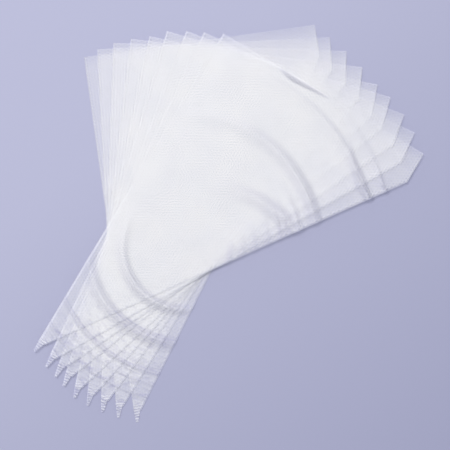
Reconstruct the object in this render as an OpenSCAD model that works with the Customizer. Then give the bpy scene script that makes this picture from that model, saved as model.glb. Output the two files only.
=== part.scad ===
// Nine disposable piping bags, empty and flat, laid on a table as a fan.
// Millimetres, +Z up. The origin is the point the fan turns about, on the table top.
// bag_1 lies at the bottom of the fan and bag_9 on top.

/* [Bag] */
// Length of the long folded edge, from the tip to the mouth
bag_length = 300; // [240:5:450]
// Width across the mouth of a flat bag
mouth_width = 190; // [150:5:240]
// Length of the short folded edge, down from the far end of the mouth
short_edge = 27; // [15:1:50]
// Length of the closed point, which is snipped off before use
tip_length = 9; // [7:0.5:15]
// Width of the blunt end of the closed point
tip_end = 2; // [1:0.25:2.5]

/* [Film] */
// Thickness of the plastic film
film = 0.08; // [0.06:0.01:0.12]
// Air left between the two films of one bag
film_space = 0.16; // [0.1:0.02:0.6]
// Air left between one bag and the next
bag_space = 0.28; // [0.1:0.02:0.8]
// Width of the welded bead along the slanted edge
weld_width = 1.6; // [1:0.1:2.2]
// Width of the rounded film along a folded edge
fold_width = 0.3; // [0.2:0.05:0.6]

/* [Fan] */
// Turning point of the fan, measured in from the long fold
pivot_in = 63; // [40:1:80]
// Turning point of the fan, measured up from the tip
pivot_up = 136; // [100:1:180]
// How far the fan is spread, as a share of the drawn spread
spread = 1; // [0:0.05:1.2]
// Lean of the bottom bag, clockwise from +Y
first_lean = -8; // [-20:0.5:20]

/* [Hidden] */
bag_count = 9;
// Turn of each bag from the bottom bag, clockwise, and how far it has slipped along X and Y
turns = [0, 5, 10, 15, 20, 24.5, 29, 33.5, 39];
slip_x = [3, 0, -1, -1.5, -1.5, -1, 1, 1.5, 0.5];
slip_y = [1, 0.5, 0, -1, -2, 0.5, 0, -0.5, 0.5];
// Clear gap between the edge of a film and the bead beside it
edge_gap = 0.05;
bag_thickness = 2 * film + film_space;
bag_pitch = bag_thickness + bag_space;
// Angle between the long fold and the slanted weld
weld_angle = atan(mouth_width / (bag_length - short_edge));
// The weld bead and its gap, measured straight across the bag
bead_across = weld_width / cos(weld_angle);
weld_across = (weld_width + edge_gap) / cos(weld_angle);
// Edges of the film, clear of the beads
film_left = fold_width + edge_gap;
film_right = mouth_width - fold_width - edge_gap;
film_start = tip_length + edge_gap;
// Where the closed point starts and ends across the bag, at its wide end and its blunt end
tip_left = fold_width;
tip_right = slant_x(tip_length) - bead_across / 2;
tip_end_left = 2 * fold_width;
tip_end_right = tip_end_left + tip_end;

PARTS = ["back_film", "front_film", "long_fold", "short_fold", "side_weld", "tip_seal"];

// Distance of the slanted edge from the long fold, at a height above the tip
function slant_x(y) = y * tan(weld_angle);

// Lays one bag in its place in the fan; the bag is drawn with its tip at the origin
module place(bag) {
    turn = first_lean + spread * turns[bag - 1];
    translate([slip_x[bag - 1], slip_y[bag - 1], (bag - 1) * bag_pitch])
        rotate([0, 0, -turn])
        translate([-pivot_in, -pivot_up, 0])
        children();
}

// Flat shape of one film, inside the folds, the weld and the closed point
module film_shape() {
    polygon([
        [film_left, film_start],
        [film_left, bag_length],
        [film_right, bag_length],
        [film_right, (film_right + weld_across) / tan(weld_angle)],
        [slant_x(film_start) - weld_across, film_start]
    ]);
}

// Film that lies on the table side
module back_film(bag) {
    color([0.93, 0.94, 0.97, 0.35])
        place(bag)
        linear_extrude(film)
        film_shape();
}

// Film that lies on the upper side
module front_film(bag) {
    color([0.95, 0.96, 0.98, 0.35])
        place(bag)
        translate([0, 0, film + film_space])
        linear_extrude(film)
        film_shape();
}

// Long folded edge, from the closed point to the mouth
module long_fold(bag) {
    color([0.97, 0.97, 1, 0.6])
        place(bag)
        translate([0, film_start, 0])
        cube([fold_width, bag_length - film_start, bag_thickness]);
}

// Short folded edge, from the end of the weld to the mouth
module short_fold(bag) {
    color([0.97, 0.97, 1, 0.6])
        place(bag)
        translate([mouth_width - fold_width, bag_length - short_edge, 0])
        cube([fold_width, short_edge, bag_thickness]);
}

// Slanted edge where the two films are welded and cut in one pass
module side_weld(bag) {
    color([0.86, 0.87, 0.92, 0.8])
        place(bag)
        linear_extrude(bag_thickness)
        polygon([
            [slant_x(film_start), film_start],
            [slant_x(film_start) - bead_across, film_start],
            [film_right, (film_right + bead_across) / tan(weld_angle)],
            [film_right, film_right / tan(weld_angle)]
        ]);
}

// Closed point at the small end, gathered to a blunt tip
module tip_seal(bag) {
    color([0.86, 0.87, 0.92, 0.8])
        place(bag)
        linear_extrude(bag_thickness)
        polygon([
            [tip_end_left, 0],
            [tip_left, tip_length],
            [tip_right, tip_length],
            [tip_end_right, 0]
        ]);
}

for (bag = [1:bag_count]) {
    back_film(bag);
    front_film(bag);
    long_fold(bag);
    short_fold(bag);
    side_weld(bag);
    tip_seal(bag);
}
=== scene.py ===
"""Looks of a fan of nine disposable piping bags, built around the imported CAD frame.

Lengths are metres. Each bag has its own flat coordinates: u runs across it from the long fold,
and v runs along the long fold from the closed point to the mouth. Every bag follows the same
rings of soft creases about the axis the fan turns on, so the bags stay nested as they turn.
"""

import math
from collections import namedtuple

import bpy
import numpy as np
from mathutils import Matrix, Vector


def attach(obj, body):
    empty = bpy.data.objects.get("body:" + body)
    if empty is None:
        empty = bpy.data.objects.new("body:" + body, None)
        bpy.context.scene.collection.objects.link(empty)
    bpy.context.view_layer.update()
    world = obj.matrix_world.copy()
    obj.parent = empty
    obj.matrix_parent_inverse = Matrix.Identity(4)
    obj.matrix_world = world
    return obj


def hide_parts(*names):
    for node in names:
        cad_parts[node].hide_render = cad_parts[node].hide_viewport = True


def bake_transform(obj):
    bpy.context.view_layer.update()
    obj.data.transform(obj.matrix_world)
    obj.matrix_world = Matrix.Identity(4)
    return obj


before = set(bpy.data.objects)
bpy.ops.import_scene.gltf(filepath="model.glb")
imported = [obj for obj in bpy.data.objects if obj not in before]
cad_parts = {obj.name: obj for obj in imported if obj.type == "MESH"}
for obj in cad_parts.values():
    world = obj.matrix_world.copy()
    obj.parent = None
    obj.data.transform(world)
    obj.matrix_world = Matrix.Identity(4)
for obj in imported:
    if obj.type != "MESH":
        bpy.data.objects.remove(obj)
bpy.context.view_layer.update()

MM = 0.001
BAG_COUNT = 9
TOP = BAG_COUNT

# Thickness of a film, half the gap inside a flat bag, and half the thickness of a weld.
FILM, HALF_GAP, HALF_WELD = 0.06 * MM, 0.03 * MM, 0.09 * MM
# Half the gap that is left between the two films where they are welded.
WELD_GAP = 0.004 * MM

# Soft creases shared by all bags, as parts of rings about the turning axis. Lengths are in mm: the
# radius of the crest, the rise inside it, the fall outside it and the height. Directions are in
# degrees in the row frame with the fan at rest: a ring is full within `full` of its centre and has
# gone `gone` away from it. The change is slow, so that turned bags still nest.
Ring = namedtuple("Ring", "radius rise fall height centre full gone")
TIP_SIDE, WELD_SIDE = -125, 12
RINGS = (
    Ring(50, 6.0, 8.0, 2.3, TIP_SIDE, 25, 95),
    Ring(78, 7.0, 9.5, 2.5, TIP_SIDE, 30, 105),
    Ring(105, 2.4, 3.5, 1.1, TIP_SIDE, 40, 90),
    Ring(114, 2.6, 2.6, 0.6, TIP_SIDE, 20, 70),
    Ring(125, 2.6, 3.5, 1.0, TIP_SIDE, 35, 85),
    Ring(94, 4.0, 3.5, 1.0, WELD_SIDE, 4, 30),
    Ring(108.5, 10, 7.0, 2.9, WELD_SIDE, 8, 84),
    Ring(154, 9.0, 4.0, 1.8, WELD_SIDE, 6, 66),
    Ring(169, 5.0, 3.0, 0.9, WELD_SIDE, 4, 44),
)

# Short gathers beside the top bag's weld, which also go down through the pile. They are parts of
# rings too, about one pitch apart, and fade over an angle from the weld. Lengths are in mm.
GATHER_STEPS = range(4, 10)
GATHER_PITCH, GATHER_RISE, GATHER_FALL, GATHER_HEIGHT = 9.6, 3.6, 2.8, 1.0
GATHER_ANGLE = math.radians(26)
GATHER_START, GATHER_FULL = 110 * MM, 140 * MM

# Creases that only the top bag has: points (u, v) along the crest, then rise, fall and height,
# all in mm. The fall is the side towards the mouth.
Crease = namedtuple("Crease", "line rise fall height")
TOP_CREASES = (
    Crease(((121, 290), (145, 264), (157, 253), (172, 246)), 6, 3.0, 2.4),
    Crease(((43, 192), (61, 194), (92, 200), (119, 198), (134, 193)), 11, 8, 3.2),
    Crease(((164, 272), (170, 265), (180, 257)), 5, 2.2, 1.6),
)

# Deeper gathers of the top bag's weld, in mm: their middle along the weld, counted back from its
# upper corner if negative, then their reach along it, pitch, depth into the bag and height.
Gathers = namedtuple("Gathers", "middle reach pitch deep height seed")
TOP_GATHERS = (
    Gathers(-16, 20, 4.2, 9, 0.8, 21),
    Gathers(205, 45, 8.5, 13, 1.0, 22),
)

# Loose hills of the top bag: height, then the sizes of the large and the small ones.
HILL_HEIGHT, LARGE_HILLS, SMALL_HILLS = 1.2 * MM, 46 * MM, 19 * MM
# The top bag's mouth lip stands up along a short stretch.
LIP_START, LIP_PEAK, LIP_END = 52 * MM, 66 * MM, 108 * MM
LIP_DEPTH, LIP_HEIGHT = 4.5 * MM, 4.5 * MM

# The pile is loose near the turning axis and settles towards its rim.
LOOSE_RADIUS, SETTLED_RADIUS, SETTLED_SHARE = 0.07, 0.16, 0.9

# Weld puckers: distance from the weld over which they fade, pitch along it, height.
PUCKER_FADE, PUCKER_PITCH, PUCKER_HEIGHT = 5 * MM, 2.8 * MM, 0.08 * MM
# Fine crinkles about the turning axis: distance from the weld over which they fade, pitch, height.
CRINKLE_FADE, CRINKLE_PITCH, CRINKLE_HEIGHT = 20 * MM, 2.4 * MM, 0.16 * MM
# How crinkled the weld's side is, how much more so near the closed point, and the length of bag
# at the closed point that is crinkled all over.
CRINKLED, CRINKLED_MORE, CRINKLED_TIP = 0.25, 0.3, 45 * MM
# Wrinkles across the closed point, painted as shade and not in the mesh's shape: pitch, where they
# end and over what length they fade.
WRINKLE_PITCH, WRINKLE_END, WRINKLE_FADE = 2.1 * MM, 19 * MM, 10 * MM
# Groups of hairline creases beside the welds, painted as shade only: (distance from the turning axis,
# half width) in mm.
LINE_GROUPS = ((77, 3.6), (102, 3.6))
# Their pitch, their reach from the weld and the v beyond which there are none.
LINE_PITCH, LINE_REACH, LINE_END = 2.1 * MM, 10 * MM, 140 * MM
# A short dash of painted shade across each bag near its closed point: v, wander along v and half
# width.
DASH_PLACE, DASH_WANDER, DASH_HALF = 25, 4, 0.9 * MM
# How strong the painted shade of the hairlines, the dashes and the tip wrinkles is, against a steep
# crease's.
LINE_SHADE, DASH_SHADE, WRINKLE_SHADE = 2.4, 2.0, 2.2

# Slopes at which a crease and a gather get their full painted shade, and the step used to measure
# them.
STEEP, GATHER_STEEP, SLOPE_STEP = 0.62, 0.24, 0.4 * MM

# What each place adds to the share of light that a film holds back: crinkled film, film beside
# the weld near the mouth, the far mouth corner, the mouth's edge and the closed point.
HAZE_CRINKLED, HAZE_WELD, HAZE_CORNER, HAZE_MOUTH, HAZE_TIP = 0.02, 0.07, -0.06, -0.06, 0.16

# Meshes of films: spacing of rows towards the closed point and towards the mouth, and columns.
TOP_ROWS = (0.55 * MM, 0.9 * MM, 106)
UPPER_ROWS = (0.6 * MM, 1.3 * MM, 112)
LOWER_ROWS = (0.75 * MM, 1.3 * MM, 112)
# The last row of a film, narrow so that the mouth doesn't look thick.
MOUTH_RIM = 0.1 * MM
FOLD_STEP, WELD_STEP, TIP_STEP = 0.8 * MM, 0.55 * MM, 0.25 * MM
# Width of the weld bead, and how far in from the weld's edge a film ends, under the bead.
BEAD_WIDTH, FILM_INSET = 1.6 * MM, 1.3 * MM
# Notches in the edges of the closed point.
NOTCH_DEPTH, NOTCH_PITCH = 0.45 * MM, 2.3 * MM

# Materials: colours of clear and cloudy plastic, and the tint of the shade painted into creases,
# hairlines, crinkles and embossed dots.
WHITE, PALE = (0.99, 0.99, 0.99, 1), (0.965, 0.97, 0.985, 1)
PAINTED_SHADE_TINT = (0.58, 0.57, 0.72, 1)
# Distance between rows of embossed dots, and their share in the bump and in the opacity.
EMBOSS_PITCH, EMBOSS_BUMP, EMBOSS_CLEAR = 2.23 * MM, 0.27, 0.03
# A look: colours between which it is mottled, the range of opacity, the height of small creases
# and of crinkles in mm, and how strongly it is embossed.
Look = namedtuple("Look", "dark light solid bump crinkle embossed")
LOOKS = {
    "film": Look(PALE, WHITE, (0.15, 0.18), 0.05, 2.0, 1.0),
    "fold": Look((0.93, 0.94, 0.96, 1), PALE, (0.07, 0.12), 0.05, 0.0, 0.0),
    "weld": Look((0.78, 0.79, 0.85, 1), (0.90, 0.91, 0.95, 1), (0.14, 0.22), 0.1, 1.5, 0.3),
    "tip": Look((0.80, 0.81, 0.87, 1), (0.94, 0.94, 0.97, 1), (0.2, 0.36), 0.2, 2.0, 0.0),
}
# Floor colours: lit at the upper left, and with painted shade at the lower right.
FLOOR_LIT, FLOOR_SHADED = (0.332, 0.337, 0.450, 1), (0.263, 0.269, 0.380, 1)

# The lamp's place, the point it faces, its size, power and colour; then the even fill light.
LAMP_PLACE, LAMP_TARGET = (-0.5, 0.75, 2.4), (0.02, 0.02, 0)
LAMP_SIZE, LAMP_POWER, LAMP_COLOUR = 0.6, 68, (1.0, 0.985, 0.96)
FILL_COLOUR, FILL_STRENGTH = (0.86, 0.90, 1.0, 1), 0.57
# The middle of the picture on the table, and the width of table that it shows.
VIEW_MIDDLE, VIEW_WIDTH = (0.0325, 0.0182), 0.366


# ---------------------------------------------------------------- the bags as the CAD has them


def node_points(node):
    """Corners of a CAD node at rest, in metres."""
    return np.array([v.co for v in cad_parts[node].data.vertices], float)


class Bag:
    """Place and sizes of one bag, read from its CAD nodes."""

    def __init__(self, number):
        self.number = number
        self.name = f"bag_{number}"
        fold = node_points(f"{self.name}_long_fold")
        tip = node_points(f"{self.name}_tip_seal")
        far = np.linalg.norm(fold[:, :2] - tip[:, :2].mean(0), axis=1)
        at_mouth = far > far.mean()
        along = fold[at_mouth, :2].mean(0) - fold[~at_mouth, :2].mean(0)
        self.along = along / np.linalg.norm(along)
        self.across = np.array([self.along[1], -self.along[0]])
        self.origin = np.zeros(2)
        edge = self.to_flat(fold)[0].min()
        end = self.to_flat(tip)[1].min()
        self.origin = edge * self.across + end * self.along
        short = self.to_flat(node_points(f"{self.name}_short_fold"))
        self.length = self.to_flat(fold)[1].max()
        self.width = short[0].max()
        self.short_start = short[1].min()
        self.fold_width = self.to_flat(fold)[0].max()
        self.tip_length = self.to_flat(tip)[1].max()
        self.slope = self.width / self.short_start
        self.cos_weld = math.cos(math.atan(self.slope))
        self.bottom = fold[:, 2].min()
        self.thickness = fold[:, 2].max() - self.bottom

    def to_flat(self, points):
        """Bag coordinates u and v of points in the row frame."""
        flat = points[..., :2] - self.origin
        return flat @ self.across, flat @ self.along

    def to_row(self, u, v):
        """x and y in the row frame of bag coordinates."""
        return (
            self.origin[0] + u * self.across[0] + v * self.along[0],
            self.origin[1] + u * self.across[1] + v * self.along[1],
        )

    def weld_distance(self, u, v):
        """Distance in from the slanted weld, or from the line it would follow."""
        return (v * self.slope - u) * self.cos_weld

    def weld_inward(self, u, v):
        """The same distance, with 0 for places outside that line."""
        return np.maximum(self.weld_distance(u, v), 0)

    def weld_run(self, u, v):
        """Distance along the weld from the closed point."""
        return (u * self.slope + v) * self.cos_weld

    def right_edge(self, v):
        """u of the weld, or of the short fold above it."""
        return np.minimum(v * self.slope, self.width)

    def tip_outline(self):
        """Left edge at the end and at the film, then the right edge at the end and at the film."""
        u, v = self.to_flat(node_points(f"{self.name}_tip_seal"))
        at_end = v < self.tip_length / 2
        return u[at_end].min(), u[~at_end].min(), u[at_end].max(), u[~at_end].max()


BAGS = [Bag(number) for number in range(1, BAG_COUNT + 1)]


# ---------------------------------------------------------------- heights of the films


def smooth(x):
    """0 below 0, 1 above 1, eased in between."""
    x = np.clip(x, 0, 1)
    return x * x * (3 - 2 * x)


def bell(distance, reach):
    """1 at no distance, falling away smoothly over the reach."""
    return np.exp(-((distance / reach) ** 2))


def ridge(distance, rise, fall):
    """1 on the crest; distance is counted outwards, and the fall is the outer side."""
    side = np.clip(1 + np.where(distance < 0, distance / rise, -distance / fall), 0, 1)
    return side * side * (2 - side)


def wave(turns, shift=0.0):
    """A sine wave between -1 and 1, one period for each whole turn; the shift is in radians."""
    return np.sin(2 * math.pi * turns + shift)


def wander(x, seed, pitch):
    """Smooth noise between -1 and 1 along one coordinate."""
    rng = np.random.default_rng(seed)
    knots = rng.uniform(-1, 1, 512)
    place = x / pitch + 200
    low = np.clip(np.floor(place).astype(int), 0, 510)
    part = smooth(place - low)
    return knots[low] * (1 - part) + knots[low + 1] * part


def wander_2d(u, v, seed, pitch):
    """Smooth noise between -1 and 1 over the flat bag."""
    rng = np.random.default_rng(seed)
    knots = rng.uniform(-1, 1, (96, 96))
    pu, pv = u / pitch + 8, v / pitch + 8
    iu = np.clip(np.floor(pu).astype(int), 0, 94)
    iv = np.clip(np.floor(pv).astype(int), 0, 94)
    fu, fv = smooth(pu - iu), smooth(pv - iv)
    low = knots[iu, iv] * (1 - fu) + knots[iu + 1, iv] * fu
    high = knots[iu, iv + 1] * (1 - fu) + knots[iu + 1, iv + 1] * fu
    return low * (1 - fv) + high * fv


def ring_height(x, y):
    """Height of the shared creases at a place in the row frame with the fan at rest."""
    radius = np.hypot(x, y)
    direction = np.degrees(np.arctan2(y, x))
    total = np.zeros_like(radius)
    for ring in RINGS:
        away = np.abs((direction - ring.centre + 180) % 360 - 180)
        share = np.clip((ring.gone - away) / (ring.gone - ring.full), 0, 1)
        crest = ridge(radius - ring.radius * MM, ring.rise * MM, ring.fall * MM)
        total += ring.height * MM * share * crest
    return total + gathers(x, y)


def gathers(x, y):
    """Short creases about the turning axis, strongest at the top bag's weld."""
    radius = np.hypot(x, y)
    top = BAGS[-1]
    u, v = top.to_flat(np.stack([x, y], -1))
    angle = top.weld_inward(u, v) / np.maximum(radius, 1 * MM)
    share = np.clip(1 - angle / GATHER_ANGLE, 0, 1)
    share *= smooth((v - GATHER_START) / (GATHER_FULL - GATHER_START))
    rng = np.random.default_rng(12)
    total = np.zeros_like(radius)
    for step in GATHER_STEPS:
        crest = GATHER_PITCH * (step + rng.uniform(-0.25, 0.25)) * MM
        height = GATHER_HEIGHT * rng.uniform(0.4, 1.0) * MM
        total += height * ridge(radius - crest, GATHER_RISE * MM, GATHER_FALL * MM)
    return share * total


def pile_height(bag, u, v):
    """Height of the bag's middle surface over the table, before its own creases."""
    x, y = bag.to_row(u, v)
    radius = np.hypot(x, y)
    settled = smooth((radius - LOOSE_RADIUS) / (SETTLED_RADIUS - LOOSE_RADIUS))
    share = 1 - (1 - SETTLED_SHARE) * settled
    return bag.thickness / 2 + share * (bag.bottom - BAGS[0].bottom) + ring_height(x, y)


def weld_puckers(bag, u, v):
    """Short puckers square to the weld."""
    run = bag.weld_run(u, v)
    seed = 100 * bag.number
    shift = 0.9 * wander(run, seed, 7 * MM)
    strength = 0.55 + 0.45 * wander(run, seed + 1, 11 * MM)
    puckers = wave(run / PUCKER_PITCH + shift)
    return PUCKER_HEIGHT * strength * puckers * bell(bag.weld_inward(u, v), PUCKER_FADE)


def crinkle_share(bag, u, v):
    """How crinkled a bag is: fully at the closed point, and partly all along the weld."""
    near_tip = smooth((90 * MM - v) / (40 * MM))
    beside = bell(bag.weld_inward(u, v), CRINKLE_FADE) * (CRINKLED + CRINKLED_MORE * near_tip)
    return np.maximum(beside, smooth(1 - v / CRINKLED_TIP))


def crinkles(bag, u, v):
    """Fine crinkles about the turning axis, whose phase all bags share."""
    radius = np.hypot(*bag.to_row(u, v))
    bend = 0.5 * MM * wander(u, 100 * bag.number + 10, 4 * MM)
    shift = 0.8 * wander(radius, 3, 7 * MM)
    strength = 0.6 + 0.4 * wander(radius, 4, 5 * MM)
    lines = wave((radius + bend) / CRINKLE_PITCH + shift)
    return CRINKLE_HEIGHT * crinkle_share(bag, u, v) * strength * lines


def crease_height(u, v, crease):
    """Height of one crease whose crest line is given as v over u."""
    line = np.array(crease.line) * MM
    crest = np.interp(u, line[:, 0], line[:, 1])
    length = line[-1, 0] - line[0, 0]
    slope = (line[-1, 1] - line[0, 1]) / length
    distance = (v - crest) / math.hypot(1, slope)
    start = smooth((u - line[0, 0]) / (0.75 * length))
    end = smooth((line[-1, 0] + 0.3 * length - u) / (0.3 * length))
    return crease.height * MM * start * end * ridge(distance, crease.rise * MM, crease.fall * MM)


def corner_gathers(bag, u, v):
    """Deeper gathers of the top bag's weld near its upper corner and beside the turning axis."""
    inward = bag.weld_inward(u, v)
    run = bag.weld_run(u, v)
    corner = bag.weld_run(bag.width, bag.short_start)
    total = np.zeros_like(u)
    for group in TOP_GATHERS:
        middle = group.middle * MM
        if middle < 0:
            middle += corner
        pitch = group.pitch * MM
        near = bell(run - middle, group.reach * MM) * bell(inward, group.deep * MM)
        shift = 0.7 * wander(run, group.seed, 13 * MM)
        lean = 0.25 * inward / pitch
        folds = (0.5 + 0.5 * wave(run / pitch + shift + lean)) ** 2
        strength = 0.6 + 0.4 * wander(run, group.seed + 5, 9 * MM)
        total += group.height * MM * near * folds * strength
    return total


def lip_flare(bag, u, v):
    """The short stretch of the top bag's mouth that stands up, steep at first and then flatter."""
    out = np.clip((v - bag.length + LIP_DEPTH) / LIP_DEPTH, 0, 1)
    before = smooth((u - LIP_START) / (LIP_PEAK - LIP_START))
    after = smooth((LIP_END - u) / (LIP_END - LIP_PEAK))
    start = 0.7 * (1 - np.minimum(before, after))
    out = np.clip((out - start) / (1 - start), 0, 1)
    return LIP_HEIGHT * before * after * np.sin(math.pi / 2 * out)


def top_creases(bag, u, v):
    """The top bag's own creases, gathers and mouth lip."""
    total = corner_gathers(bag, u, v) + lip_flare(bag, u, v)
    for crease in TOP_CREASES:
        total += crease_height(u, v, crease)
    return total


def top_creases_at(x, y):
    """Height of the top bag's own creases at a place in the row frame with the fan at rest."""
    top = BAGS[-1]
    return top_creases(top, *top.to_flat(np.stack([x, y], -1)))


def top_bag_height(bag, u, v):
    """Loose hills and creases that only the top bag has, because nothing lies on it."""
    edge = smooth(bag.weld_distance(u, v) / (18 * MM)) * smooth(u / (18 * MM))
    edge *= smooth((bag.width - u) / (14 * MM))
    hills = 0.55 + 0.45 * wander_2d(u, v, 77, LARGE_HILLS)
    hills += 0.25 * wander_2d(u, v, 78, SMALL_HILLS)
    return HILL_HEIGHT * edge * np.maximum(hills, 0) + top_creases(bag, u, v)


def middle_height(bag, u, v):
    """Height of the bag's middle surface over the table."""
    height = pile_height(bag, u, v) + weld_puckers(bag, u, v) + crinkles(bag, u, v)
    if bag.number == TOP:
        height = height + top_bag_height(bag, u, v)
    return height


def film_spread(bag, u, v):
    """How far apart the two films are: 0 where they meet at the weld and the closed point."""
    from_weld = np.where(v < bag.short_start, bag.weld_distance(u, v), 1.0)
    weld = smooth((from_weld - 1.2 * MM) / (4 * MM))
    above = smooth((v - bag.short_start) / (6 * MM))
    tip = smooth((v - bag.tip_length) / (14 * MM))
    return np.maximum(weld, above) * tip


# ---------------------------------------------------------------- painted shade and haze kept in the meshes


def painted_slope_shade(height_at, x, y, steep=STEEP):
    """Painted shade of creases, from their slope: 0 where they are flat, 1 where they are steep."""
    here = height_at(x, y)
    along_x = height_at(x + SLOPE_STEP, y) - here
    along_y = height_at(x, y + SLOPE_STEP) - here
    return smooth(np.hypot(along_x, along_y) / SLOPE_STEP / steep)


def painted_hairline_shade(bag, u, v):
    """Painted shade of hairline creases on the tip side, which are not in the mesh's shape: groups
    beside the weld, a dash and tip wrinkles.
    """
    radius = np.hypot(*bag.to_row(u, v))
    inward = bag.weld_inward(u, v)
    rng = np.random.default_rng(40 + bag.number)
    total = np.zeros_like(radius)
    for centre, half in LINE_GROUPS:
        inside = smooth(1.6 - np.abs(radius - centre * MM) / (half * MM))
        lines = (0.5 + 0.5 * wave(radius / LINE_PITCH)) ** 2
        reach = LINE_REACH * rng.uniform(0.7, 1.2)
        total += LINE_SHADE * inside * lines * np.exp(-((inward / reach) ** 4))
    total *= smooth((LINE_END - v) / (10 * MM))
    crest = (DASH_PLACE + rng.uniform(-DASH_WANDER, DASH_WANDER)) * MM
    crest = crest + 0.8 * MM * wander(u, 41 + bag.number, 3 * MM)
    dash = smooth(1.5 - np.abs(v - crest) / DASH_HALF)
    across = np.clip(u / np.maximum(bag.right_edge(v), 1 * MM), 0, 1)
    dash = dash * smooth((across - 0.3) / 0.2) * smooth((0.97 - across) / 0.1)
    return total + DASH_SHADE * dash + WRINKLE_SHADE * painted_tip_wrinkles(bag, u, v)


def painted_tip_wrinkles(bag, u, v):
    """Wrinkles across the closed point, painted only: 1 in the shaded ones, 0 between them and away
    from it.
    """
    shift = 1.2 * wander(u, 60 + bag.number, 2.5 * MM) + bag.number
    wrinkles = 0.5 + 0.5 * wave(v / WRINKLE_PITCH, shift)
    return wrinkles * smooth((WRINKLE_END - v) / WRINKLE_FADE)


def painted_crease_shade(bag, u, v):
    """Painted shade of the resting pile's creases at each place, with the top bag's own creases
    painted on the bags under it too, and the painted hairlines.
    """
    x, y = bag.to_row(u, v)
    top = BAGS[-1]
    under_top = top.to_flat(np.stack([x, y], -1))[1] < top.length
    shares = (
        painted_slope_shade(ring_height, x, y),
        painted_slope_shade(gathers, x, y, GATHER_STEEP),
        under_top * painted_slope_shade(top_creases_at, x, y),
    )
    return np.maximum.reduce(shares) + painted_hairline_shade(bag, u, v)


def haze(bag, u, v):
    """Share of light that crinkled film holds back; the mouth and its far corner are clearer, and the
    bands between the painted tip wrinkles hold back more, as a painted highlight.
    """
    beside_mouth_weld = bell(bag.weld_inward(u, v), 24 * MM) * smooth((v - 150 * MM) / (50 * MM))
    far_corner = smooth(2 * u / bag.width - 1) * smooth(5 * v / bag.length - 4)
    at_mouth = smooth(1 - (bag.length - v) / (9 * MM))
    # Between the painted tip wrinkles the film is more opaque and so whiter: a painted highlight.
    at_tip = smooth((WRINKLE_END - v) / WRINKLE_FADE) - painted_tip_wrinkles(bag, u, v)
    return (
        HAZE_CRINKLED * crinkle_share(bag, u, v)
        + HAZE_WELD * beside_mouth_weld
        + HAZE_CORNER * far_corner
        + HAZE_MOUTH * at_mouth
        + HAZE_TIP * at_tip
    )


def store_crinkles_and_painted_shade(obj, bag):
    """Stores how crinkled and hazy each vertex is, its painted shade, and its place on the flat bag.
    """
    u, v = bag.to_flat(np.array([p.co for p in obj.data.vertices], float))
    for name, share in (("crinkled", crinkle_share), ("painted_shade", painted_crease_shade), ("haze", haze)):
        attribute = obj.data.attributes.new(name, "FLOAT", "POINT")
        attribute.data.foreach_set("value", share(bag, u, v).astype(np.float32))
    flat = obj.data.attributes.new("flat", "FLOAT_VECTOR", "POINT")
    flat.data.foreach_set("vector", np.stack([u, v, 0 * u], 1).astype(np.float32).ravel())


# ---------------------------------------------------------------- meshes


def link(name, vertices, faces):
    """A new smooth-shaded mesh object."""
    mesh = bpy.data.meshes.new(name)
    mesh.vertices.add(len(vertices))
    mesh.vertices.foreach_set("co", np.asarray(vertices, np.float32).ravel())
    faces = np.asarray(faces, np.int32)
    mesh.loops.add(faces.size)
    mesh.loops.foreach_set("vertex_index", faces.ravel())
    mesh.polygons.add(len(faces))
    mesh.polygons.foreach_set("loop_start", np.arange(0, faces.size, 4, dtype=np.int32))
    mesh.polygons.foreach_set("use_smooth", np.ones(len(faces), bool))
    mesh.update(calc_edges=True)
    mesh.validate()
    obj = bpy.data.objects.new(name, mesh)
    bpy.context.scene.collection.objects.link(obj)
    return obj


def quads(rows, columns):
    """Quads of a grid whose points are numbered row by row."""
    index = np.arange(rows * columns).reshape(rows, columns)
    corners = index[:-1, :-1], index[:-1, 1:], index[1:, 1:], index[1:, :-1]
    return np.stack([c.ravel() for c in corners], 1)


def rim(rows, columns):
    """Indices round the border of a grid, counter-clockwise seen from above."""
    index = np.arange(rows * columns).reshape(rows, columns)
    return np.concatenate([index[0, :-1], index[:-1, -1], index[-1, :0:-1], index[:0:-1, 0]])


def sheet(name, x, y, low, high):
    """A closed thin sheet over a grid of points, between two heights."""
    rows, columns = x.shape
    count = rows * columns
    upper = np.stack([x.ravel(), y.ravel(), high.ravel()], 1)
    lower = np.stack([x.ravel(), y.ravel(), low.ravel()], 1)
    top = quads(rows, columns)
    border = rim(rows, columns)
    after = np.roll(border, -1)
    side = np.stack([border, border + count, after + count, after], 1)
    faces = np.concatenate([top, top[:, ::-1] + count, side])
    return link(name, np.concatenate([upper, lower]), faces)


def tube(name, rings):
    """A closed rod through rings of points, with quad fans as end caps."""
    steps, points, _ = rings.shape
    index = np.arange(steps * points).reshape(steps, points)
    after = np.roll(index, -1, axis=1)
    skin = np.stack([index[:-1], index[1:], after[1:], after[:-1]], 2).reshape(-1, 4)
    caps = []
    for ring, flip in ((index[0], False), (index[-1], True)):
        for k in range(points // 2 - 1):
            quad = [ring[k], ring[k + 1], ring[points - 2 - k], ring[points - 1 - k]]
            caps.append(quad[::-1] if flip else quad)
    faces = np.concatenate([skin, np.array(caps)])
    return link(name, rings.reshape(-1, 3), faces)


def across_rows(v, columns):
    """v of every point of a grid, from v of its rows."""
    return np.repeat(v[:, None], columns, 1)


def spaced(start, end, step):
    """Evenly spaced values, about step apart, both ends included."""
    return np.linspace(start, end, max(2, round((end - start) / step) + 1))


def film_rows(bag, fine, coarse):
    """v of the rows of a film: fine towards the closed point and at the mouth."""
    middle, lip = 0.5 * bag.length, bag.length - 1.5 * LIP_DEPTH
    return np.concatenate(
        [
            spaced(bag.tip_length - 0.3 * MM, middle, fine)[:-1],
            spaced(middle, lip, coarse)[:-1],
            spaced(lip, bag.length - MOUTH_RIM, fine),
            [bag.length],
        ]
    )


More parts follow.
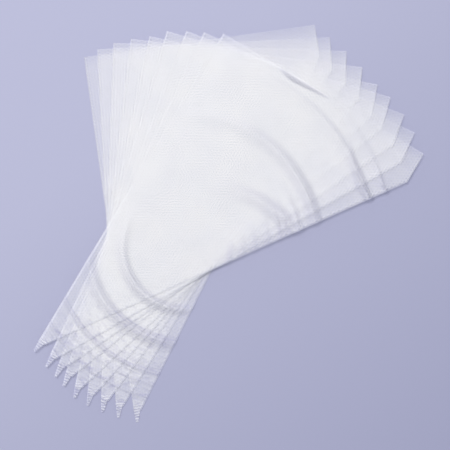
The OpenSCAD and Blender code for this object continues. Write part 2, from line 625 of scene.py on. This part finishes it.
def film_grid(bag, v, columns):
    """u and v over one film: its columns are a little closer together towards the weld."""
    share = 1 - (1 - np.linspace(0, 1, columns)) ** 1.05
    left = bag.fold_width * 0.8
    inset = np.where(v < bag.short_start, FILM_INSET / bag.cos_weld, bag.fold_width * 0.8)
    right = bag.right_edge(v) - inset
    u = left + share[None, :] * (right - left)[:, None]
    return u, across_rows(v, columns)


def film_sheet(bag, upper):
    """One film of a bag as a closed thin sheet."""
    if bag.number == TOP:
        fine, coarse, columns = TOP_ROWS
    elif upper:
        fine, coarse, columns = UPPER_ROWS
    else:
        fine, coarse, columns = LOWER_ROWS
    u, v = film_grid(bag, film_rows(bag, fine, coarse), columns)
    x, y = bag.to_row(u, v)
    middle = middle_height(bag, u, v)
    apart = film_spread(bag, u, v) * HALF_GAP + WELD_GAP
    if upper:
        film = sheet(f"{bag.name}_upper_film", x, y, middle + apart, middle + apart + FILM)
    else:
        film = sheet(f"{bag.name}_lower_film", x, y, middle - apart - FILM, middle - apart)
    store_crinkles_and_painted_shade(film, bag)
    return film


def folded_edge(bag, name, outer, start, outward):
    """A rounded fold: a C-shaped strip that joins the two films, open towards the bag."""
    v = spaced(start, bag.length, FOLD_STEP)
    turn = np.linspace(-math.pi / 2, math.pi / 2, 7)
    big = np.stack([np.cos(turn), np.sin(turn)], 1)
    small = big[::-1]
    width = bag.fold_width
    across = np.concatenate([big[:, 0] * width, small[:, 0] * (width - FILM)])
    height = np.concatenate([big[:, 1] * (HALF_GAP + FILM), small[:, 1] * HALF_GAP])
    u = outer - outward * width + outward * across[None, :] + 0 * v[:, None]
    v = across_rows(v, len(across))
    x, y = bag.to_row(u, v)
    z = middle_height(bag, u, v) + height[None, :]
    edge = tube(name, np.stack([x, y, z], 2))
    store_crinkles_and_painted_shade(edge, bag)
    return edge


def weld_bead(bag):
    """The welded and cut edge, a narrow flat bead with puckers."""
    v = spaced(bag.tip_length - 0.2 * MM, bag.short_start + 0.6 * MM, WELD_STEP)
    upper = np.array([(0, 0), (0.12, 0.8), (0.45, 1), (0.8, 0.75), (1, 0.45)])
    lower = upper[:1:-1] * (1, -1)
    shape = np.concatenate([upper, lower])
    u = bag.right_edge(v)[:, None] - BEAD_WIDTH / bag.cos_weld * shape[None, :, 0]
    v = across_rows(v, len(shape))
    x, y = bag.to_row(u, v)
    z = middle_height(bag, u, v) + HALF_WELD * shape[None, :, 1]
    bead = tube(f"{bag.name}_weld_bead", np.stack([x, y, z], 2))
    store_crinkles_and_painted_shade(bead, bag)
    return bead


def closed_point(bag):
    """The gathered point at the small end, with notched edges and a blunt end."""
    left_end, left_film, right_end, right_film = bag.tip_outline()
    v = spaced(0, bag.tip_length, TIP_STEP)
    share = v / bag.tip_length
    notch = NOTCH_DEPTH * wave(v / NOTCH_PITCH, bag.number) * (1 - share)
    left = left_end + (left_film - left_end) * share - 0.5 * notch
    right = right_end + (right_film - right_end) * share + notch
    across = np.linspace(0, 1, 16)
    u = left[:, None] + (right - left)[:, None] * across[None, :]
    v = across_rows(v, len(across))
    x, y = bag.to_row(u, v)
    crown = HALF_WELD * (1 + 0.4 * np.sin(math.pi * across)[None, :]) + 0 * v
    middle = middle_height(bag, u, v)
    point = sheet(f"{bag.name}_closed_point", x, y, middle - crown, middle + crown)
    store_crinkles_and_painted_shade(point, bag)
    return point


# ---------------------------------------------------------------- materials


class Nodes:
    """Short helpers for building one node material."""

    def __init__(self, name):
        self.material = bpy.data.materials.new(name)
        self.material.use_nodes = True
        self.tree = self.material.node_tree
        self.tree.nodes.clear()

    def feed(self, socket, value):
        """Links an output socket, or sets a plain value."""
        if isinstance(value, bpy.types.NodeSocket):
            self.tree.links.new(value, socket)
        else:
            socket.default_value = value

    def add(self, kind, **values):
        """Adds a node; values set its properties, or its inputs by name."""
        node = self.tree.nodes.new(kind)
        for key, value in values.items():
            if hasattr(node, key):
                setattr(node, key, value)
            else:
                self.feed(node.inputs[key.replace("_", " ")], value)
        return node

    def math(self, operation, first, second=0.0, clamp=False):
        """The result of a Math node."""
        node = self.add("ShaderNodeMath", operation=operation, use_clamp=clamp)
        self.feed(node.inputs[0], first)
        self.feed(node.inputs[1], second)
        return node.outputs[0]

    def map(self, value, low, high, start=0.3, end=0.7):
        """value taken from start..end to low..high, and kept inside."""
        node = self.add("ShaderNodeMapRange", clamp=True, Value=value, From_Min=start, From_Max=end)
        self.feed(node.inputs["To Min"], low)
        self.feed(node.inputs["To Max"], high)
        return node.outputs["Result"]

    def mix(self, factor, first, second, blend="MIX"):
        """A colour mixed from two."""
        node = self.add("ShaderNodeMix", data_type="RGBA", blend_type=blend)
        self.feed(node.inputs["Factor"], factor)
        self.feed(node.inputs["A"], first)
        self.feed(node.inputs["B"], second)
        return node.outputs["Result"]

    def split(self, vector):
        """The three parts of a vector."""
        return self.add("ShaderNodeSeparateXYZ", Vector=vector).outputs

    def place(self):
        """The place in the row frame."""
        return self.add("ShaderNodeTexCoord").outputs["Object"]

    def attribute(self, name, output="Fac"):
        """A value stored in the mesh."""
        return self.add("ShaderNodeAttribute", attribute_name=name).outputs[output]

    def noise(self, place, scale, detail, roughness=0.5):
        """Noise between about 0.3 and 0.7."""
        node = self.add("ShaderNodeTexNoise", Vector=place, Scale=scale, Detail=detail)
        self.feed(node.inputs["Roughness"], roughness)
        return node.outputs["Fac"]

    def ring_noise(self, across, along):
        """Noise stretched along rings about the turning axis."""
        place = self.split(self.place())
        x, y = place["X"], place["Y"]
        square = self.math("ADD", self.math("MULTIPLY", x, x), self.math("MULTIPLY", y, y))
        radius = self.math("MULTIPLY", self.math("SQRT", square), across)
        angle = self.math("MULTIPLY", self.math("ARCTAN2", y, x), along)
        polar = self.add("ShaderNodeCombineXYZ", X=radius, Y=angle).outputs["Vector"]
        return self.noise(polar, 1.0, 2.0)

    def emboss(self, pitch):
        """Dots in a lattice of equal triangles over the flat bag, between -0.5 and 1."""
        flat = self.split(self.attribute("flat", "Vector"))
        total = 0.0
        for angle in (0, math.pi / 3, 2 * math.pi / 3):
            turns_u = 2 * math.pi / pitch * math.cos(angle)
            turns_v = 2 * math.pi / pitch * math.sin(angle)
            across = self.math("MULTIPLY", flat["X"], turns_u)
            along = self.math("MULTIPLY", flat["Y"], turns_v)
            total = self.math("ADD", self.math("COSINE", self.math("ADD", across, along)), total)
        return self.math("DIVIDE", total, 3.0)

    def with_surface(self, shader):
        """The finished material, with the shader as its surface."""
        self.add("ShaderNodeOutputMaterial", Surface=shader)
        return self.material


def seen_through(n, solid, upright):
    """Opacity of film seen at a slant. Only outer faces count, so that a thin sheet counts once."""
    clear = n.math("POWER", n.math("SUBTRACT", 1.0, solid), n.math("DIVIDE", 1.0, upright))
    outer = n.math("SUBTRACT", 1.0, n.add("ShaderNodeNewGeometry").outputs["Backfacing"])
    return n.math("MULTIPLY", n.math("SUBTRACT", 1.0, clear), outer, clamp=True)


def plastic(name, look):
    """See-through film, which hides more of what is behind it where it is seen at a slant.

    Its height has three parts: a fine regular embossing, small creases, and long crinkles round
    the turning axis.
    """
    n = Nodes(name)
    cloud = n.noise(n.place(), 38, 3.0)
    creases = n.noise(n.place(), 420, 4.0, 0.55)
    rings = n.ring_noise(560, 16)
    crinkled = n.attribute("crinkled")
    flat_share = n.math("SUBTRACT", 1.0, crinkled, clamp=True)
    emboss = n.math("MULTIPLY", n.emboss(EMBOSS_PITCH), n.math("MULTIPLY", flat_share, look.embossed))

    # Colour: mottled, with painted shade in creases, hairlines, crinkle valleys and embossed dots.
    tint = n.mix(n.map(cloud, 0.0, 1.0), look.dark, look.light)
    # Painted shade in the valleys of the crinkles and on the embossed dots, over their bump.
    lines = n.math("MULTIPLY", n.map(rings, 0.7, 0.0, 0.36, 0.48), crinkled)
    lines = n.math("ADD", lines, n.map(emboss, 0.0, 0.5, -0.2, 1.0))
    # Painted shade of creases, gathers, hairlines and tip wrinkles, read from the mesh.
    painted_shade = n.math("MULTIPLY", n.attribute("painted_shade"), 0.25)
    shaded = n.mix(n.math("ADD", painted_shade, lines, clamp=True), tint, PAINTED_SHADE_TINT, "MULTIPLY")

    # Stacked films seen at a slant hide more, so they would look too bright: the colour is dimmed.
    # Seen from above, this also paints a little shade on steep crease flanks.
    facing = n.add("ShaderNodeLayerWeight", Blend=0.5).outputs["Facing"]
    upright = n.math("MAXIMUM", n.math("SUBTRACT", 1.0, facing), 0.2)
    dimmed = n.add("ShaderNodeVectorMath", operation="SCALE")
    n.feed(dimmed.inputs[0], shaded)
    n.feed(dimmed.inputs["Scale"], n.map(upright, 0.72, 1.0, 0.2, 1.0))

    # Opacity: mottled, with the haze of the place, and a little clearer in the embossed dots.
    solid = n.math("ADD", n.map(cloud, *look.solid), n.attribute("haze"))
    solid = n.math("SUBTRACT", solid, n.math("MULTIPLY", emboss, EMBOSS_CLEAR))

    height = n.math("MULTIPLY", emboss, EMBOSS_BUMP)
    height = n.math("ADD", height, n.math("MULTIPLY", creases, look.bump))
    crinkle = n.math("MULTIPLY", rings, n.math("MULTIPLY", crinkled, look.crinkle))
    height = n.math("ADD", height, crinkle)
    bumped = n.add("ShaderNodeBump", Strength=1.0, Distance=MM, Height=height)

    surface = n.add("ShaderNodeBsdfPrincipled", Base_Color=dimmed.outputs[0], IOR=1.5)
    n.feed(surface.inputs["Roughness"], n.map(creases, 0.32, 0.5))
    n.feed(surface.inputs["Specular IOR Level"], 0.35)
    n.feed(surface.inputs["Normal"], bumped.outputs["Normal"])
    mixed = n.add("ShaderNodeMixShader")
    n.feed(mixed.inputs[0], seen_through(n, solid, upright))
    n.feed(mixed.inputs[1], n.add("ShaderNodeBsdfTransparent").outputs[0])
    n.feed(mixed.inputs[2], surface.outputs[0])
    return n.with_surface(mixed.outputs[0])


def floor_paper():
    """Plain lavender paper with a very fine grain, and painted shade deepening towards the lower
    right, where the lamp's light falls off.
    """
    n = Nodes("floor_paper")
    place = n.split(n.place())
    down_right = n.math("SUBTRACT", n.math("MULTIPLY", place["X"], 0.85), place["Y"])
    # Painted shade of the lamp's falloff towards the lower right.
    painted_falloff = n.map(down_right, 0.0, 1.0, -0.14, 0.36)
    grain = n.map(n.noise(n.place(), 900, 2.0), -0.02, 0.02)
    tint = n.mix(n.math("ADD", painted_falloff, grain, clamp=True), FLOOR_LIT, FLOOR_SHADED)
    surface = n.add("ShaderNodeBsdfPrincipled", Base_Color=tint, Roughness=0.8)
    n.feed(surface.inputs["Specular IOR Level"], 0.15)
    return n.with_surface(surface.outputs[0])


# ---------------------------------------------------------------- the object


def dress(obj, look, node):
    """Gives a piece its material and hides the CAD node it stands for."""
    obj.data.materials.append(looks[look])
    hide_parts(node)


def open_with_mouth(film, bag):
    """Bakes the top bag's upper film into place and works out a line along its long fold and each
    vertex's share across the bag, which are not used.
    """
    start = (*bag.to_row(0.0, bag.tip_length), bag.bottom)
    end = (*bag.to_row(0.0, bag.length), bag.bottom)
    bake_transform(film)
    u, v = bag.to_flat(np.array([p.co for p in film.data.vertices], float))
    across = np.clip(u / bag.right_edge(np.maximum(v, bag.tip_length)), 0, 1)


def add_bag(bag):
    """The six pieces of one bag, each on the bag's body except the top bag's upper film."""
    name = bag.name
    lower = film_sheet(bag, False)
    upper = film_sheet(bag, True)
    long_edge = folded_edge(bag, f"{name}_long_folded_edge", 0.0, bag.tip_length, -1)
    short_edge = folded_edge(bag, f"{name}_short_folded_edge", bag.width, bag.short_start, 1)
    bead = weld_bead(bag)
    point = closed_point(bag)
    for piece, look, slot, node in (
        (lower, "film", "film", "back_film"),
        (upper, "film", "film", "front_film"),
        (long_edge, "fold", "fold", "long_fold"),
        (short_edge, "fold", "fold", "short_fold"),
        (bead, "weld", "weld", "side_weld"),
        (point, "tip", "weld", "tip_seal"),
    ):
        dress(piece, look, f"{name}_{node}")
        if piece is upper and bag.number == TOP:
            open_with_mouth(piece, bag)
        else:
            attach(piece, name)


looks = {name: plastic(f"{name}_plastic", look) for name, look in LOOKS.items()}
for bag in BAGS:
    add_bag(bag)


# ---------------------------------------------------------------- stage, light and camera


def make_floor():
    """A wide plain floor just under the bags."""
    half, low = 4.0, -0.4 * MM
    mesh = bpy.data.meshes.new("floor")
    corners = [(-half, -half, low), (half, -half, low), (half, half, low), (-half, half, low)]
    mesh.from_pydata(corners, [], [(0, 1, 2, 3)])
    mesh.materials.append(floor_paper())
    floor = bpy.data.objects.new("floor", mesh)
    bpy.context.scene.collection.objects.link(floor)


def make_lamp():
    """A soft square lamp high above the upper left of the picture."""
    data = bpy.data.lights.new("key", "AREA")
    data.shape = "SQUARE"
    data.size = LAMP_SIZE
    data.energy = LAMP_POWER
    data.color = LAMP_COLOUR
    lamp = bpy.data.objects.new("key", data)
    lamp.location = LAMP_PLACE
    facing = Vector(LAMP_TARGET) - Vector(LAMP_PLACE)
    lamp.rotation_euler = facing.to_track_quat("-Z", "Y").to_euler()
    bpy.context.scene.collection.objects.link(lamp)


def make_world():
    """Even fill light from all round."""
    world = bpy.data.worlds.new("studio")
    world.use_nodes = True
    sky = world.node_tree.nodes["Background"]
    sky.inputs["Color"].default_value = FILL_COLOUR
    sky.inputs["Strength"].default_value = FILL_STRENGTH
    bpy.context.scene.world = world


def make_camera():
    """Straight above the fan, looking down, with +Y up in the picture."""
    data = bpy.data.cameras.new("camera")
    data.lens, data.sensor_width = 100, 36
    camera = bpy.data.objects.new("camera", data)
    camera.location = (*VIEW_MIDDLE, VIEW_WIDTH * data.lens / data.sensor_width)
    bpy.context.scene.collection.objects.link(camera)
    bpy.context.scene.camera = camera


make_floor()
make_world()
make_lamp()
make_camera()

scene = bpy.context.scene
scene.view_settings.view_transform = "Standard"
# Up to two films a bag, each with two faces, lie over one another.
scene.cycles.transparent_max_bounces = 96
